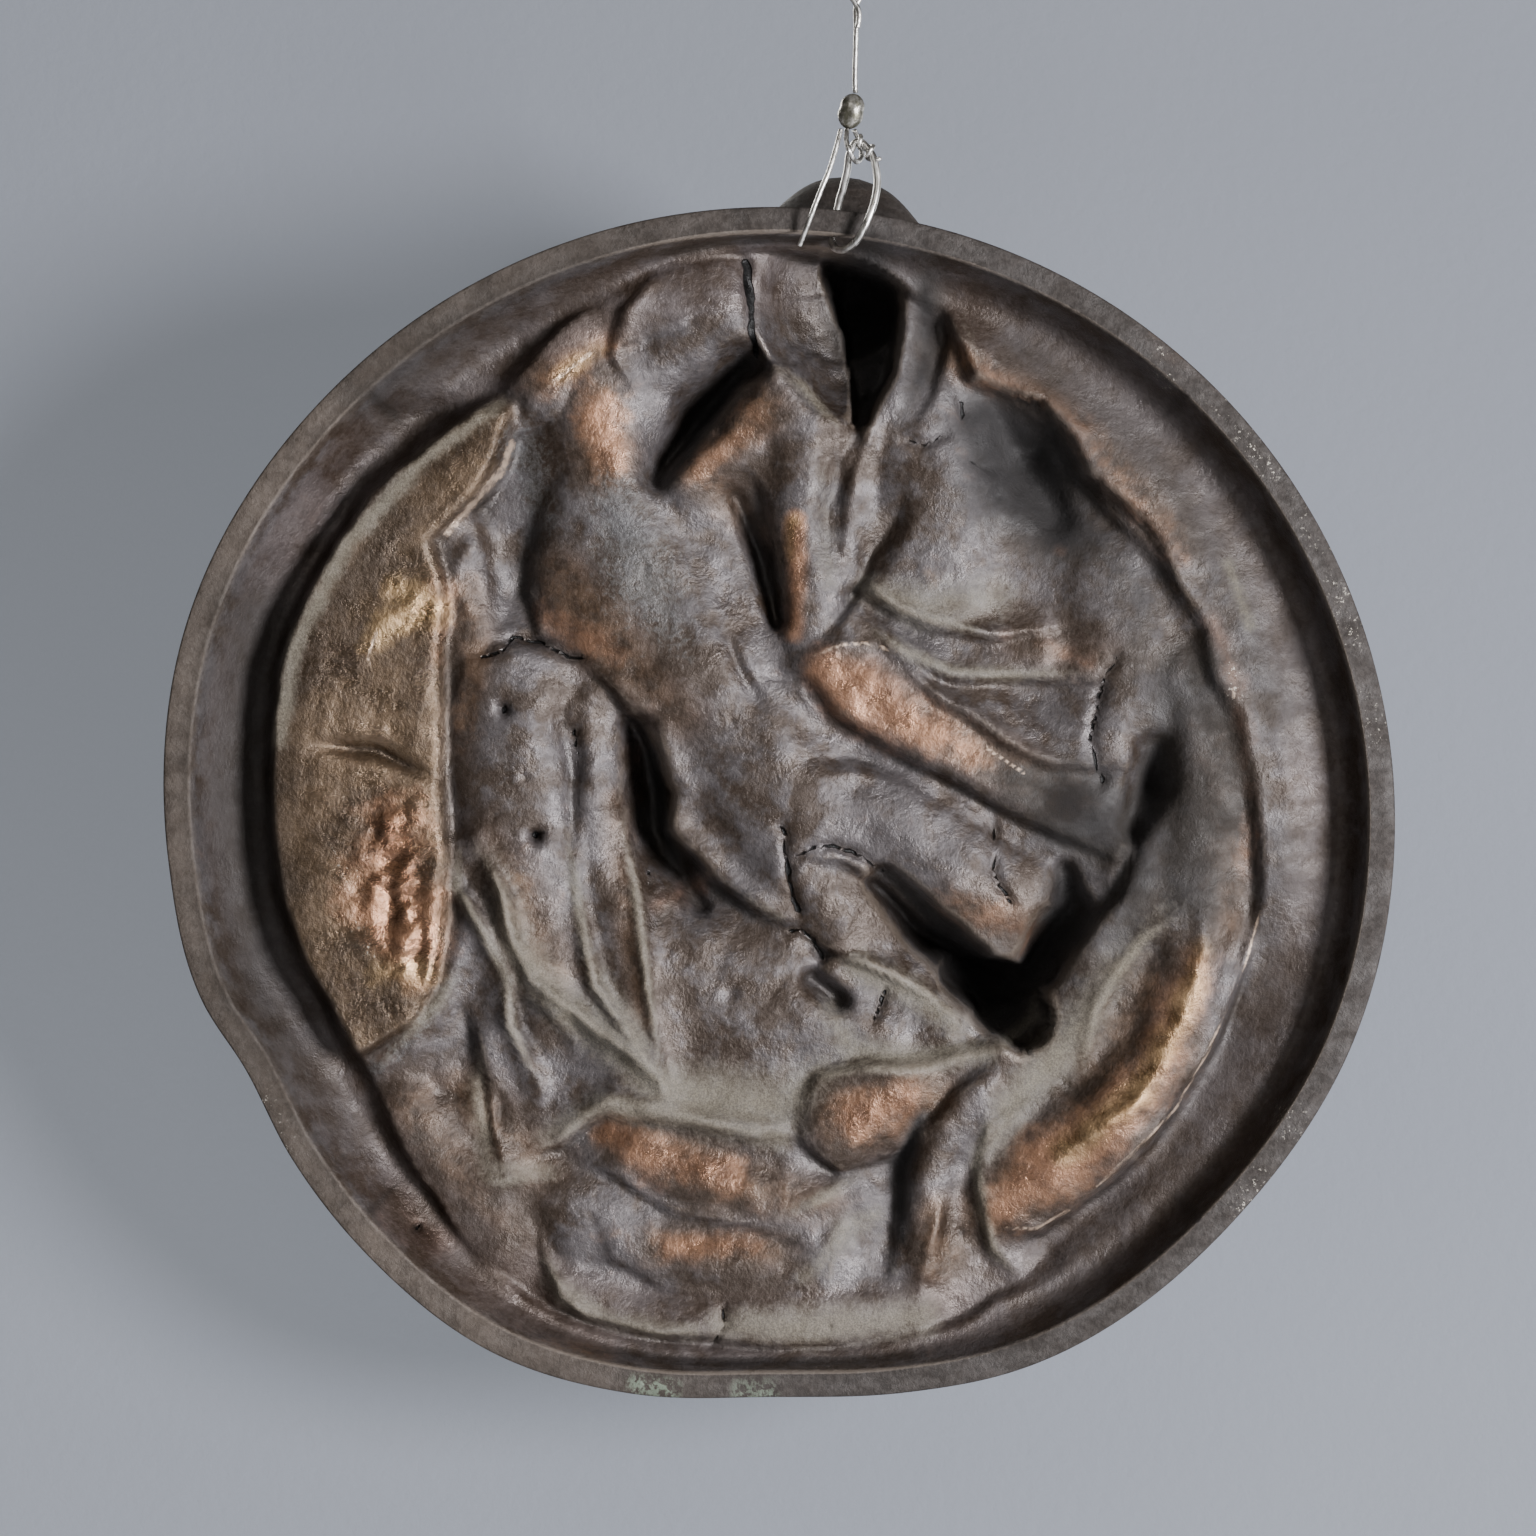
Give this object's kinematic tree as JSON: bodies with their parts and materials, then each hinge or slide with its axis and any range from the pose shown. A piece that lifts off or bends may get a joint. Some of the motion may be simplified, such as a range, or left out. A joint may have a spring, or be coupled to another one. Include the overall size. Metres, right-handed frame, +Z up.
{
  "type": "bronze bas-relief",
  "caption": "Round cast bronze relief with a moulded rim and a seated draped figure, hollow behind, hung by a wire loop through its rim.",
  "frame": {"origin": "the top of the wire loop, where the relief hangs", "axes": "+Z up; +Y out of the hollow back, away from the carved front, square to the rim's flat back edge; +X to the right of someone who faces the carved front"},
  "size_m": [0.3304, 0.0798, 0.3897],
  "materials": {
    "old_bronze": "old patinated bronze, rubbed bright in places, grey casting skin and dust in the hollow back",
    "wire": "dull galvanised wire",
    "ferrule": "crimped sleeve",
    "cable": "fine stranded steel cable"
  },
  "bodies": {
    "root": {"relief_casting": "old_bronze", "hanging_loop": "wire", "ferrule": "ferrule", "cable": "cable", "cable_turn": "cable", "cable_tail": "cable"}
  },
  "joints": []
}
